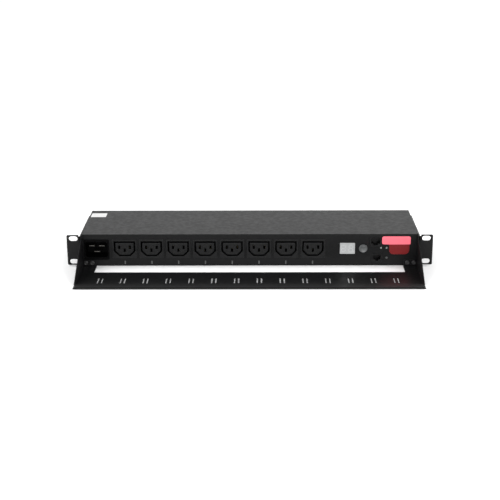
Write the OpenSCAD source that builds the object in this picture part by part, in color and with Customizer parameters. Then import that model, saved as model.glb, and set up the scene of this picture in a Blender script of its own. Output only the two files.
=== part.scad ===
// Rack power strip, 1U: a sheet-steel chassis with eight C13 outlets, a C20 inlet, a metering and
// network panel, rack ears and a cord-retention tray. Millimetres, +Z up, front face towards -Y.
// The origin is the centre of the four rack slots, on the ears' rear faces.

/* [Chassis] */
// Width of the chassis between the ear legs
chassis_w = 445; // [440:0.5:445]
// Depth of the chassis behind its front face
chassis_d = 107; // [100:0.5:112]
// Height of the chassis
chassis_h = 43.7; // [43:0.1:43.7]
// Sheet thickness of the pan and the cover
sheet_t = 1.2; // [0.8:0.1:1.3]
// Thickness of the front panel
panel_t = 1.5; // [1.2:0.1:1.6]

/* [Rack ears] */
// Overall width across the ears
ear_span = 482.6; // [480:0.1:484]
// Height of each ear
ear_h = 41.4; // [40:0.1:43]
// Sheet thickness of the ears
ear_t = 2; // [1.5:0.1:2]
// Depth of the leg along the chassis side
ear_leg_d = 92; // [84:1:96]
// Distance between the slot centres across the rack
slot_pitch_x = 465.1; // [465:0.1:466]
// Distance between the slot centres up the rack
slot_pitch_z = 31.75; // [31.5:0.05:32]
// End-to-end length of a slot
slot_len = 11.5; // [9:0.5:12]
// Height of a slot
slot_h = 6.8; // [6.2:0.1:7]

/* [Cord tray] */
// Reach of the tray in front of the chassis
tray_d = 87.2; // [84:0.1:92]
// Sheet thickness of the tray
tray_t = 1.2; // [1:0.1:1.5]
// Width of the cord window
window_w = 405.4; // [400:0.1:406]
// Depth of the cord window
window_d = 28.4; // [24:0.1:32]
// Number of tie anchors
tie_count = 14; // [8:1:14]
// Distance between tie anchors
tie_pitch = 29.1; // [28:0.1:29.5]
// Length of a tie slot
tie_len = 20; // [16:1:24]

/* [Outlets] */
// Number of outlets
outlet_count = 8; // [4:1:8]
// Distance between outlets
outlet_pitch = 35.5; // [35:0.1:36]
// Centre of the first outlet
outlet_x0 = -165.1; // [-166:0.1:-164]
// Height of the outlet centres above the origin
outlet_z = 2; // [1:0.1:3]

/* [Controls] */
// Centre of the display
display_x = 129; // [128:0.1:130]
// Centre of the control button
button_x = 149.8; // [149:0.1:151]
// Diameter of the control button
button_dia = 11.2; // [9:0.1:11.6]
// Travel of the control button
button_travel = 1; // [0.5:0.1:1.2]

/* [Hidden] */
$fn = 48;

// Main planes
face_y = -ear_t;                            // front face of the chassis and the ears
back_y = face_y + chassis_d;                // rearmost sheet, the cover's lip
wall_y = back_y - sheet_t;                  // outer face of the rear wall
panel_back_y = face_y + panel_t;            // rear face of the front panel
top_z = chassis_h / 2;
bottom_z = -chassis_h / 2;
inner_w = chassis_w - 2 * sheet_t;          // between the cover's side walls

// Side flanges of the pan, and the tabs that weld the front panel to it
pan_flange_y = 32;
pan_flange_h = 6;
weld_tab_w = 20;
weld_tab_d = 9;

// Fasteners
m3_r = 1.5;
m3_shank_r = 1.45;
m3_head_r = 2.8;
m3_head_h = 1.9;
m4_r = 2;
m4_shank_r = 1.95;
m4_head_r = 3.8;
cover_screw_xs = [-195, -65, 65, 195];
cover_lip_h = 10;
cover_screw_z = top_z - 6;
ear_screw_ys = [46, 78];
ear_screw_zs = [-10, 10];
tray_screw_xs = [208.4, 217];
tray_tab_h = 8;
tray_tab_w = 17;
tray_screw_z = bottom_z + 4.6;

// Tray details
tray_front_y = face_y - tray_d;
hem_d = 12;
gusset_top_z = top_z - 0.4;
gusset_foot_d = 11;                         // flat run of the floor in front of each gusset
tray_inset = 0.9;
tie_slot_w = 1.6;
tie_slot_gap = 5.2;                         // between the two slots of one anchor
tie_centre_x = -1.6;
tie_front_y = tray_front_y + 19.2;

// C13 outlet details
tongue_w = 24;
tongue_h = 16.4;
tongue_chamfer = 5.6;
groove_w = 2.1;
groove_depth = 17.5;
outlet_flange_w = 32.6;
outlet_flange_h = 26;
outlet_flange_t = 1;
outlet_body_w = 30.6;
outlet_body_h = 23.4;
outlet_body_d = 22;
outlet_cutout_gap = 0.15;
contact_slot_w = 2.6;
contact_slot_h = 4.8;
contact_cell_w = 4.2;
contact_cell_h = 6.6;
contact_mouth_d = 3;
contact_dx = 7;
contact_dz = 2;
leaf_t = 0.5;
leaf_len = 12;
tab_t = 0.8;
tab_h = 6.3;
line_tab_end_y = 25;
earth_bar_y = 27;
neutral_bar_y = 30.5;
bar_t = 1;
bar_h = 6;
neutral_overhang = 14;                      // from the first contact to the bar's inlet end
earth_overhang = 10;
lead_r = 1.9;
led_w = 1.6;
led_h = 4.6;
led_z = -17.2;

// C20 inlet details
inlet_x = -202.2;
inlet_z = 0.8;
inlet_flange_w = 33.4;
inlet_flange_h = 28;
inlet_flange_t = 1.4;
inlet_body_w = 32;
inlet_body_h = 24.8;
inlet_body_d = 27;
inlet_cavity_w = 29.2;
inlet_cavity_h = 20.8;
inlet_cavity_d = 20.5;
pin_w = 8;
pin_t = 2;
pin_dx = 6.5;
pin_dz = 4;
pin_recess = 3;
pin_end_y = 34;

// Control and network panel details
control_z = 2;
display_w = 20;
display_h = 15.3;
display_d = 8;
digit_h = 10.2;
digit_w = 6;
segment_w = 1.2;
digit_dx = 4.9;
board_y = 12.6;                             // front face of the control board
board_t = 1.6;
bracket_xs = [116, 188];
bracket_screw_z = -14;
bracket_t = 1.2;
button_hole_r = button_dia / 2 + 0.3;
button_proud = 1.8;
button_flange_r = button_dia / 2 + 1.2;
button_stem_r = 3;
button_dish = 0.45;                         // depth of the hollow in the button's face
button_dish_r = 13;
switch_w = 12;
switch_front_y = 8.2;
plunger_r = 3.4;
plunger_clear = 0.1;
plunger_front_y = 6.6;
reset_x = 181;
reset_z = -11.2;
reset_r = 1.3;
reset_hole_r = 1.7;
reset_sink = 0.3;
reset_travel = 0.8;
reset_switch_w = 6;
reset_switch_front_y = 8.6;
ethernet_x = 166;
ethernet_z = 11;
ethernet_w = 15.6;
ethernet_h = 12.4;
ethernet_hole_w = 11.8;
ethernet_hole_h = 7.2;
serial_x = 168.4;
serial_z = -11.2;
serial_w = 13;
serial_h = 11.6;
serial_hole_w = 9.6;
serial_hole_h = 6.6;
jack_d = board_y - face_y;
jack_hole_d = 11;
jack_gap = 0.2;
status_led_r = 1.25;
status_led_at = [[173.2, 2.7], [180.6, 2.7]];
label_t = 0.4;
label_bar_right_x = 212;
label_top_z = 18.6;
label_bar_w = 37.6;
label_bar_h = 11.1;
label_bar_r = 2.5;
label_field_right_x = 210.6;
label_field_w = 26.7;
label_field_h = 13.8;
label_field_r = 6;
label_overlap = 4;
asset_label_at = [-219.7, 73.4];
asset_label_w = 20.8;
asset_label_d = 17;
asset_label_t = 0.15;

// Inner boards
relay_board_x0 = -204;
relay_board_x1 = 104;
board_y0 = 35;                              // front and rear edges of both inner boards
board_y1 = 88;
relay_board_z = -14;                        // underside of the relay board
relay_w = 12.8;
relay_len = 29;
relay_h = 15.7;
relay_y = 52;
sensor_r = 8.4;
sensor_hole_r = 3.2;
sensor_w = 8;
sensor_at = [-194, 62, relay_board_z + 1.6 + sensor_r];
standoff_r = 2.6;
standoff_margin = 5;
supply_x0 = 112;
supply_x1 = 208;
ribbon_x = 134;
ribbon_w = 16;
ribbon_t = 0.9;
supply_z = relay_board_z + 1.6;             // top of the supply board

// Place of outlet i, counted from zero
function outlet_x(i) = outlet_x0 + i * outlet_pitch;
// Place of tie anchor i, counted from zero
function tie_x(i) = tie_centre_x + (i - (tie_count - 1) / 2) * tie_pitch;
// Point at share t along a cubic curve with four control points
function bezier(p, t) = pow(1 - t, 3) * p[0] + 3 * t * pow(1 - t, 2) * p[1]
    + 3 * t * t * (1 - t) * p[2] + pow(t, 3) * p[3];
// Unit vector
function unit(v) = v / norm(v);

// A box from its lowest corner to its highest corner
module block(a, b) translate(a) cube(b - a);

// A cylinder along +Y that starts at the point at
module rod_y(at, r, len) translate(at) rotate([-90, 0, 0]) cylinder(r = r, h = len);

// A cylinder along +Z that starts at the point at
module rod_z(at, r, len) translate(at) cylinder(r = r, h = len);

// A flat outline drawn in X and Z, extruded along +Y from y0 by len
module slab_y(y0, len) translate([0, y0, 0]) rotate([90, 0, 0]) mirror([0, 0, 1])
    linear_extrude(height = len) children();

// A flat rectangle with true round corners, centred
module round_rect(w, h, r) {
    square([w - 2 * r, h], center = true);
    square([w, h - 2 * r], center = true);
    for (sx = [-1, 1], sz = [-1, 1])
        translate([sx * (w / 2 - r), sz * (h / 2 - r)]) circle(r = r);
}

// A flat slot with round ends, centred
module slot_2d(len, h) {
    square([len - h, h], center = true);
    for (s = [-1, 1]) translate([s * (len - h) / 2, 0]) circle(d = h);
}

// The C13 outline, with its two lower corners cut off, grown by g all round
module c13_2d(g) {
    w = tongue_w / 2 + g;
    h = tongue_h / 2 + g;
    c = tongue_chamfer + g * (2 - sqrt(2));
    polygon([[-w, h], [w, h], [w, -h + c], [w - c, -h], [-w + c, -h], [-w, -h + c]]);
}

// The parts of a chassis outline that repeat at each C13 outlet
module at_outlets() for (i = [0 : outlet_count - 1]) translate([outlet_x(i), 0, outlet_z]) children();

// The sideways direction at each section of a curve, turned from one to the next as little as it can be
function carried(along, side, k = 0) = k == len(along) ? [] :
    let (s = unit(side - (side * along[k]) * along[k])) concat([s], carried(along, s, k + 1));

// A tube of radius r along a cubic curve through rings sections
module lead(p, r, sides = 8, rings = 14) {
    points = [for (k = [0 : rings]) bezier(p, k / rings)];
    along = [for (k = [0 : rings])
        k == 0 ? unit(p[1] - p[0]) : k == rings ? unit(p[3] - p[2]) : unit(points[k + 1] - points[k - 1])];
    across = carried(along, abs(along[0][2]) > 0.9 ? [1, 0, 0] : [0, 0, 1]);
    verts = [for (k = [0 : rings])
        let (side = across[k], up = cross(side, along[k]))
        for (s = [0 : sides - 1])
            points[k] + r * (cos(360 * s / sides) * side + sin(360 * s / sides) * up)];
    walls = [for (k = [0 : rings - 1], s = [0 : sides - 1])
        let (a = k * sides + s, b = k * sides + (s + 1) % sides)
        for (f = [[a, b, b + sides], [a, b + sides, a + sides]]) f];
    ends = [[for (s = [sides - 1 : -1 : 0]) s],
        [for (s = [0 : sides - 1]) rings * sides + s]];
    polyhedron(points = verts, faces = concat(walls, ends), convexity = 4);
}

// ---- Enclosure ----

module base_pan() color("#1d1e20") difference() {
    union() {
        block([-inner_w / 2, panel_back_y, bottom_z], [inner_w / 2, wall_y, bottom_z + sheet_t]);
        block([-inner_w / 2, wall_y - sheet_t, bottom_z + sheet_t],
            [inner_w / 2, wall_y, top_z - sheet_t]);
        for (s = [-1, 1]) mirror([s < 0 ? 1 : 0, 0, 0])
            block([inner_w / 2 - sheet_t, pan_flange_y, bottom_z + sheet_t],
                [inner_w / 2, wall_y - sheet_t, bottom_z + sheet_t + pan_flange_h]);
    }
    for (x = cover_screw_xs) rod_y([x, wall_y - sheet_t - 1, cover_screw_z], m3_r, sheet_t + 2);
}

module top_cover() color("#2a2b2d") difference() {
    union() {
        block([-chassis_w / 2, face_y, top_z - sheet_t], [chassis_w / 2, back_y, top_z]);
        for (s = [-1, 1]) mirror([s < 0 ? 1 : 0, 0, 0])
            block([inner_w / 2, panel_back_y, bottom_z], [chassis_w / 2, back_y, top_z - sheet_t]);
        block([-inner_w / 2, wall_y, top_z - sheet_t - cover_lip_h],
            [inner_w / 2, back_y, top_z - sheet_t]);
    }
    for (x = cover_screw_xs) rod_y([x, wall_y - 1, cover_screw_z], m3_r, sheet_t + 2);
    for (s = [-1, 1], y = ear_screw_ys, z = ear_screw_zs)
        translate([s * chassis_w / 2, y, z]) rotate([0, 90, 0])
            cylinder(r = m4_r, h = 4 * sheet_t, center = true);
}

module panel_cutouts_2d() {
    for (i = [0 : outlet_count - 1]) {
        translate([outlet_x(i), outlet_z])
            square([outlet_body_w + 2 * outlet_cutout_gap, outlet_body_h + 2 * outlet_cutout_gap],
                center = true);
        translate([outlet_x(i), led_z]) square([led_w, led_h], center = true);
    }
    translate([inlet_x, inlet_z]) square([inlet_body_w + 0.3, inlet_body_h + 0.3], center = true);
    translate([display_x, control_z]) square([display_w, display_h], center = true);
    translate([button_x, control_z]) circle(r = button_hole_r);
    translate([ethernet_x, ethernet_z])
        square([ethernet_w + 2 * jack_gap, ethernet_h + 2 * jack_gap], center = true);
    translate([serial_x, serial_z])
        square([serial_w + 2 * jack_gap, serial_h + 2 * jack_gap], center = true);
    for (p = status_led_at) translate(p) circle(r = status_led_r);
    translate([reset_x, reset_z]) circle(r = reset_hole_r);
    for (s = [-1, 1], x = tray_screw_xs) translate([s * x, tray_screw_z]) circle(r = m3_r);
}

module front_panel() color("#202224") {
    slab_y(face_y, panel_t) difference() {
        translate([-chassis_w / 2, bottom_z]) square([chassis_w, chassis_h - sheet_t]);
        panel_cutouts_2d();
    }
    for (i = [0 : outlet_count - 2]) translate([outlet_x(i) + outlet_pitch / 2, 0, 0])
        block([-weld_tab_w / 2, panel_back_y, bottom_z + sheet_t],
            [weld_tab_w / 2, panel_back_y + weld_tab_d, bottom_z + 2 * sheet_t]);
}

module rack_ear(s) color("#242628") mirror([s < 0 ? 1 : 0, 0, 0]) {
    x0 = chassis_w / 2;
    slab_y(face_y, ear_t) difference() {
        translate([x0, -ear_h / 2]) square([ear_span / 2 - x0, ear_h]);
        for (k = [-1, 1]) translate([slot_pitch_x / 2, k * slot_pitch_z / 2]) slot_2d(slot_len, slot_h);
    }
    difference() {
        block([x0, 0, -ear_h / 2 + 2], [x0 + ear_t, ear_leg_d, ear_h / 2 - 2]);
        for (y = ear_screw_ys, z = ear_screw_zs) translate([x0, y, z]) rotate([0, 90, 0]) {
            translate([0, 0, -1]) cylinder(r = m4_r, h = ear_t + 2);
            cylinder(r1 = m4_r, r2 = m4_head_r, h = ear_t);
        }
    }
}

module ear_screws() color("#3a3b3d") for (s = [-1, 1], y = ear_screw_ys, z = ear_screw_zs)
    mirror([s < 0 ? 1 : 0, 0, 0]) translate([chassis_w / 2, y, z]) rotate([0, 90, 0]) difference() {
        union() {
            cylinder(r1 = m4_shank_r, r2 = m4_head_r - 0.05, h = ear_t);
            translate([0, 0, -sheet_t - 3.2]) cylinder(r = m4_shank_r, h = sheet_t + 3.2 + 0.01);
        }
        for (a = [0, 90]) rotate([0, 0, a]) translate([0, 0, ear_t])
            cube([4, 0.9, 1.8], center = true);
    }

module ear_nuts() color("#b9bbbd") for (s = [-1, 1], y = ear_screw_ys, z = ear_screw_zs)
    mirror([s < 0 ? 1 : 0, 0, 0]) translate([inner_w / 2 - 2.4, y, z]) rotate([0, 90, 0])
        difference() {
            cylinder(r = 3.9, h = 2.4);
            translate([0, 0, -1]) cylinder(r = m4_r, h = 5);
        }

module pan_screw(head_r, head_h, shank_r, shank_len) difference() {
    union() {
        cylinder(r = head_r, h = head_h - 0.6);
        translate([0, 0, head_h - 0.6]) cylinder(r1 = head_r, r2 = head_r - 0.9, h = 0.6);
        translate([0, 0, -shank_len]) cylinder(r = shank_r, h = shank_len + 0.01);
    }
    for (a = [0, 90]) rotate([0, 0, a]) translate([0, 0, head_h])
        cube([head_r * 1.15, 0.8, 2], center = true);
}

module cover_screws() color("#2e2f31") for (x = cover_screw_xs)
    translate([x, back_y, cover_screw_z]) rotate([-90, 0, 0])
        pan_screw(m3_head_r, m3_head_h, m3_shank_r, 5);

module tray_screws() color("#8f9294") for (s = [-1, 1], x = tray_screw_xs)
    translate([s * x, face_y - tray_t, tray_screw_z]) rotate([90, 0, 0])
        pan_screw(m3_head_r, m3_head_h, m3_shank_r, 5.5);

// ---- Cord tray: a floor with a window, tie slots and a hem, two gussets and two tabs ----

module cord_tray() color("#1f2123") {
    w = chassis_w / 2 - tray_inset;
    difference() {
        block([-w, tray_front_y, bottom_z], [w, face_y, bottom_z + tray_t]);
        block([-window_w / 2, face_y - window_d, bottom_z - 1],
            [window_w / 2, face_y + 1, bottom_z + tray_t + 1]);
        for (i = [0 : tie_count - 1], s = [-1, 1])
            translate([tie_x(i) + s * tie_slot_gap / 2, tie_front_y + tie_len / 2, bottom_z - 1])
                rotate([0, 0, 90]) linear_extrude(height = tray_t + 2) slot_2d(tie_len, tie_slot_w);
    }
    block([-w + 2, tray_front_y, bottom_z + tray_t], [w - 2, tray_front_y + hem_d, bottom_z + 2 * tray_t]);
    for (s = [-1, 1]) mirror([s < 0 ? 1 : 0, 0, 0]) {
        translate([w - tray_t, 0, 0]) rotate([90, 0, 90]) linear_extrude(height = tray_t)
            polygon([[face_y, bottom_z + tray_t], [face_y, gusset_top_z],
                [face_y - 2, gusset_top_z], [tray_front_y + gusset_foot_d, bottom_z + 2 * tray_t],
                [tray_front_y + gusset_foot_d - 2, bottom_z + tray_t]]);
        slab_y(face_y - tray_t, tray_t) difference() {
            translate([w - tray_t - tray_tab_w - 0.4, bottom_z + tray_t])
                square([tray_tab_w, tray_tab_h - tray_t]);
            for (x = tray_screw_xs) translate([x, tray_screw_z]) circle(r = m3_r);
        }
    }
}

// ---- Outlets ----

module outlet(i) color("#17181a") translate([outlet_x(i), 0, outlet_z]) difference() {
    union() {
        slab_y(face_y - outlet_flange_t, outlet_flange_t) round_rect(outlet_flange_w, outlet_flange_h, 1.5);
        slab_y(face_y, outlet_body_d) square([outlet_body_w, outlet_body_h], center = true);
    }
    slab_y(face_y - outlet_flange_t - 0.5, groove_depth + 0.5) difference() {
        c13_2d(groove_w);
        c13_2d(0);
    }
    for (p = contact_places()) translate([p[0], 0, p[1]]) {
        slab_y(face_y - outlet_flange_t - 1, outlet_body_d)
            square([contact_slot_w, contact_slot_h], center = true);
        slab_y(face_y + contact_mouth_d, outlet_body_d)
            square([contact_cell_w, contact_cell_h], center = true);
    }
}

// Line, neutral and earth contacts, from the outlet's centre
function contact_places() = [[-contact_dx, contact_dz], [contact_dx, contact_dz], [0, -contact_dz]];

// Two spring leaves on a base, with a tab that leaves the back of the housing and ends at tab_y
module outlet_contacts(place, tab_y) color("#c9a24b") at_outlets()
    translate([place[0], 0, place[1]]) {
        base_y = face_y + outlet_body_d - 1.5;
        for (s = [-1, 1])
            translate([s * (contact_cell_w / 2 - 0.2 - leaf_t / 2), base_y - leaf_len / 2, 0])
                cube([leaf_t, leaf_len, 4.4], center = true);
        block([-contact_cell_w / 2 + 0.2, base_y, -2.2], [contact_cell_w / 2 - 0.2, base_y + 1, 2.2]);
        block([-tab_t / 2, base_y + 1, -tab_h / 2], [tab_t / 2, tab_y, tab_h / 2]);
    }

module busbar(place_x, y, z0, overhang) color("#b87a3c")
    block([outlet_x(0) + place_x - overhang, y, z0],
        [outlet_x(outlet_count - 1) + place_x + 6, y + bar_t, z0 + bar_h]);

module neutral_busbar()
    busbar(contact_dx, neutral_bar_y, outlet_z + contact_dz - bar_h / 2, neutral_overhang);
module earth_busbar() busbar(0, earth_bar_y, outlet_z - contact_dz - bar_h, earth_overhang);

// Each lead rises from the top edge of its tab, passes over the busbars and drops to the relay board
module line_leads() color("#5b3a22") for (i = [0 : outlet_count - 1]) {
    x = outlet_x(i) - contact_dx;
    y = line_tab_end_y - 1.4;
    lead([[x, y, outlet_z + contact_dz + tab_h / 2], [x, y, 17], [x + contact_dx, 44, 24],
        [x + contact_dx, 44, relay_board_z + board_t]], 1.3, 8, 12);
}

// ---- Inlet ----

module inlet_housing() color("#0d0e0f") translate([inlet_x, 0, inlet_z]) difference() {
    union() {
        slab_y(face_y - inlet_flange_t, inlet_flange_t) round_rect(inlet_flange_w, inlet_flange_h, 2);
        slab_y(face_y, inlet_body_d) square([inlet_body_w, inlet_body_h], center = true);
    }
    slab_y(face_y - inlet_flange_t - 1, inlet_cavity_d + 1) round_rect(inlet_cavity_w, inlet_cavity_h, 2.5);
    for (p = pin_places()) translate([p[0], 0, p[1]])
        slab_y(face_y, inlet_body_d + 1) square([pin_w, pin_t], center = true);
}

// Line, neutral and earth pins, from the inlet's centre
function pin_places() = [[-pin_dx, pin_dz], [pin_dx, pin_dz], [0, -pin_dz]];

module inlet_pin(p) color("#c8cacc") translate([inlet_x + p[0], 0, inlet_z + p[1]]) {
    tip = 1.2;
    y0 = face_y + pin_recess;
    y1 = face_y + inlet_body_d;
    rotate([0, 90, 0]) linear_extrude(height = pin_w, center = true)
        polygon([[-pin_t / 2, y0 + tip], [-pin_t / 4, y0], [pin_t / 4, y0], [pin_t / 2, y0 + tip],
            [pin_t / 2, y1], [-pin_t / 2, y1]]);
    block([-tab_h / 2, y1, -tab_t / 2], [tab_h / 2, pin_end_y, tab_t / 2]);
}

function pin_end(p) = [inlet_x + p[0], pin_end_y, inlet_z + p[1]];

// The line lead runs through the current sensor and down to the relay board
module inlet_line_lead() color("#5b3a22") {
    a = pin_end(pin_places()[0]);
    m = sensor_at;
    b = [sensor_at[0] + 16, sensor_at[1] - 2, relay_board_z + board_t];
    lead([a, a + [0, 20, 0], m - [12, 0, 0], m], lead_r, 8, 12);
    lead([m, m + [8, 0, 0], [b[0], b[1], m[2] + 1], b], lead_r, 8, 12);
}
module inlet_neutral_lead() color("#2f5fa8") {
    a = pin_end(pin_places()[1]);
    b = [outlet_x(0) + contact_dx - neutral_overhang, neutral_bar_y + bar_t / 2, outlet_z + contact_dz];
    lead([a, a + [0, 10, 0], b - [14, 0, 0], b], lead_r, 8, 12);
}
module inlet_earth_lead() color("#7f9a2f") {
    a = pin_end(pin_places()[2]);
    b = [outlet_x(0) - earth_overhang, earth_bar_y + bar_t / 2, outlet_z - contact_dz - bar_h / 2];
    lead([a, a + [0, 8, 0], b - [14, 0, 0], b], lead_r, 8, 12);
}

// A ring core on the line lead
module current_sensor() color("#2c5d3f") translate(sensor_at) rotate([0, 90, 0])
    translate([0, 0, -sensor_w / 2]) rotate_extrude()
        translate([sensor_hole_r, 0]) square([sensor_r - sensor_hole_r, sensor_w]);

// ---- Relay board ----

module relay_board() color("#1f5a35") difference() {
    block([relay_board_x0, board_y0, relay_board_z], [relay_board_x1, board_y1, relay_board_z + board_t]);
    board_holes();
}

function standoff_places() = [for (x = [relay_board_x0 + standoff_margin, -40,
        relay_board_x1 - standoff_margin, supply_x0 + standoff_margin, supply_x1 - standoff_margin],
    y = [board_y0 + standoff_margin, board_y1 - standoff_margin]) [x, y]];

module board_holes() for (p = standoff_places())
    rod_z([p[0], p[1], relay_board_z - 1], m3_r, board_t + 2);

module relays() color("#20242c") for (i = [0 : outlet_count - 1]) {
    x = outlet_x(i);
    z = relay_board_z + board_t;
    block([x - relay_w / 2, relay_y, z], [x + relay_w / 2, relay_y + relay_len, z + relay_h]);
}

module board_standoffs() color("#c9cbcd") for (p = standoff_places()) difference() {
    rod_z([p[0], p[1], bottom_z + sheet_t], standoff_r, relay_board_z - bottom_z - sheet_t);
    rod_z([p[0], p[1], bottom_z + sheet_t - 1], m3_r, 12);
}

module board_screws() color("#c9cbcd") for (p = standoff_places())
    translate([p[0], p[1], relay_board_z + board_t]) pan_screw(m3_head_r, m3_head_h, m3_shank_r, 6);

module insulation_sheet() color("#3b3d33") difference() {
    block([relay_board_x0 - 2, board_y0 - 2, bottom_z + sheet_t],
        [supply_x1 + 2, board_y1 + 1, bottom_z + sheet_t + 0.4]);
    for (p = standoff_places()) rod_z([p[0], p[1], bottom_z], standoff_r + 0.3, 4);
}

// ---- Control and network panel ----

module control_board() color("#1f5a35") slab_y(board_y, board_t) difference() {
    translate([bracket_xs[0] - 4, -17]) square([bracket_xs[1] - bracket_xs[0] + 8, 36]);
    for (x = bracket_xs) translate([x, bracket_screw_z]) circle(r = m3_r);
}

module control_board_brackets() color("#b9bbbd") for (x = bracket_xs) {
    y = board_y + board_t;
    difference() {
        block([x - 4, y, bottom_z + sheet_t], [x + 4, y + bracket_t, bracket_screw_z + 4]);
        rod_y([x, y - 1, bracket_screw_z], m3_r, bracket_t + 2);
    }
    block([x - 4, y + bracket_t, bottom_z + sheet_t], [x + 4, y + 9, bottom_z + sheet_t + bracket_t]);
}

module control_board_screws() color("#c9cbcd") for (x = bracket_xs)
    translate([x, board_y, bracket_screw_z]) rotate([90, 0, 0])
        pan_screw(m3_head_r, m3_head_h, m3_shank_r, board_t + bracket_t + 2);

module controller_chips() color("#26282a") {
    y = board_y + board_t;
    block([142, y, -6], [156, y + 1.6, 8]);
    block([162, y, 0], [172, y + 1.2, 6]);
    block([124, y, -4], [131, y + 1.2, 6]);
    block([172, y, -14], [180, y + 2.5, -6]);
}

module display_module() color("#c9cccd") {
    slab_y(face_y - 0.3, display_d + 0.3) translate([display_x, control_z])
        square([display_w - 0.2, display_h - 0.2], center = true);
    for (k = [-2 : 2], s = [-1, 1])
        rod_y([display_x + k * 2.54, face_y + display_d, control_z + s * 6], 0.25,
            board_y - face_y - display_d);
}

// One seven-segment digit: bars with mitred ends, drawn upright
module digit_2d() {
    bar = digit_w - segment_w;
    half = digit_h / 2 - segment_w / 2;
    gap = 0.15;
    module segment(len) polygon([[-len / 2 + gap, 0], [-len / 2 + segment_w / 2 + gap, segment_w / 2],
        [len / 2 - segment_w / 2 - gap, segment_w / 2], [len / 2 - gap, 0],
        [len / 2 - segment_w / 2 - gap, -segment_w / 2], [-len / 2 + segment_w / 2 + gap, -segment_w / 2]]);
    for (z = [-half, 0, half]) translate([0, z]) segment(bar);
    for (sx = [-1, 1], sz = [-1, 1]) translate([sx * bar / 2, sz * half / 2]) rotate(90) segment(half);
}

module display_segments() color("#f4f5f5") slab_y(face_y - 0.42, 0.12) for (s = [-1, 1])
    translate([display_x + s * digit_dx - 0.5, control_z]) {
        digit_2d();
        translate([digit_w / 2 + 1.3, -digit_h / 2 + segment_w / 2]) circle(r = segment_w / 2);
    }

module control_button() color("#8d9092") translate([button_x, 0, control_z]) difference() {
    union() {
        rod_y([0, face_y - button_proud, 0], button_dia / 2, button_proud + panel_t + 0.3);
        rod_y([0, panel_back_y + 0.2, 0], button_flange_r, 1.2);
        rod_y([0, panel_back_y + 1, 0], button_stem_r, plunger_front_y - panel_back_y - 1);
    }
    translate([0, face_y - button_proud + button_dish - button_dish_r, 0])
        sphere(r = button_dish_r, $fn = 64);
}

module tact_switch(x, z, w, y0, bore_r) translate([x, 0, z]) difference() {
    slab_y(y0, board_y - y0) square([w, w], center = true);
    rod_y([0, y0 - 1, 0], bore_r, board_y - y0 + 0.6);
}

module control_switch() color("#2b2d2f")
    tact_switch(button_x, control_z, switch_w, switch_front_y, plunger_r + plunger_clear);

module switch_plunger() color("#d8d4c4")
    rod_y([button_x, plunger_front_y, control_z], plunger_r, board_y - 0.5 - button_travel - plunger_front_y);

module reset_button() color("#9a9c9e") {
    rod_y([reset_x, face_y + reset_sink, reset_z], reset_r, board_y - 0.5 - reset_travel - face_y - reset_sink);
    rod_y([reset_x, panel_back_y + 0.3, reset_z], reset_hole_r + 0.8, 1);
}

module reset_switch() color("#2b2d2f")
    tact_switch(reset_x, reset_z, reset_switch_w, reset_switch_front_y, reset_r + plunger_clear);

// A jack body with its mouth, and a latch notch below the mouth
module jack(x, z, w, h, hole_w, hole_h, notch_w, notch_h) translate([x, 0, z]) difference() {
    slab_y(face_y - 0.4, jack_d + 0.4) square([w, h], center = true);
    slab_y(face_y - 1, jack_hole_d + 0.6) {
        translate([0, notch_h / 2]) square([hole_w, hole_h], center = true);
        translate([0, -hole_h / 2]) square([notch_w, notch_h + 0.02], center = true);
    }
}

module ethernet_jack() color("#101113")
    jack(ethernet_x, ethernet_z, ethernet_w, ethernet_h, ethernet_hole_w, ethernet_hole_h, 6, 2.4);
module serial_jack() color("#101113")
    jack(serial_x, serial_z, serial_w, serial_h, serial_hole_w, serial_hole_h, 4, 2);

// Spring wires that slope down from the roof of a jack
module jack_contacts(x, z, count, pitch, roof, drop) color("#d4af37")
    for (k = [0 : count - 1]) translate([x + (k - (count - 1) / 2) * pitch, 0, z])
        rotate([90, 0, 90]) linear_extrude(height = 0.35, center = true)
            polygon([[face_y + 2, roof], [face_y + 2.4, roof], [face_y + jack_hole_d - 0.5, roof - drop],
                [face_y + jack_hole_d - 0.5, roof - drop - 0.4], [face_y + 1.6, roof - 0.35]]);

module ethernet_contacts()
    jack_contacts(ethernet_x, ethernet_z, 8, 1.02, ethernet_hole_h / 2 + 1.2, 2.2);
module serial_contacts()
    jack_contacts(serial_x, serial_z, 6, 1.02, serial_hole_h / 2 + 1, 1.6);

module outlet_leds() color("#d5dad6") for (i = [0 : outlet_count - 1])
    slab_y(face_y - 0.4, 8) translate([outlet_x(i), led_z]) square([led_w, led_h], center = true);

module status_leds() color("#c9cfcb") {
    for (p = status_led_at) {
        rod_y([p[0], face_y - 0.3, p[1]], status_led_r, 6);
        translate([p[0], face_y - 0.3, p[1]]) intersection() {
            sphere(r = status_led_r, $fn = 32);
            translate([0, -2, 0]) cube(4, center = true);
        }
    }
}

// ---- Supply board ----

module supply_board() color("#1f5a35") difference() {
    block([supply_x0, board_y0, relay_board_z], [supply_x1, board_y1, supply_z]);
    board_holes();
}

// An iron core with the coil former between its two yokes
module supply_transformer() color("#3b3226") {
    block([150, 48, supply_z], [190, 80, supply_z + 6]);
    block([156, 46, supply_z + 6], [184, 82, supply_z + 20]);
    block([150, 48, supply_z + 20], [190, 80, supply_z + 27]);
}

module supply_capacitors() color("#23262e") for (x = [122, 136]) rod_z([x, 62, supply_z], 6, 20);

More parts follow.
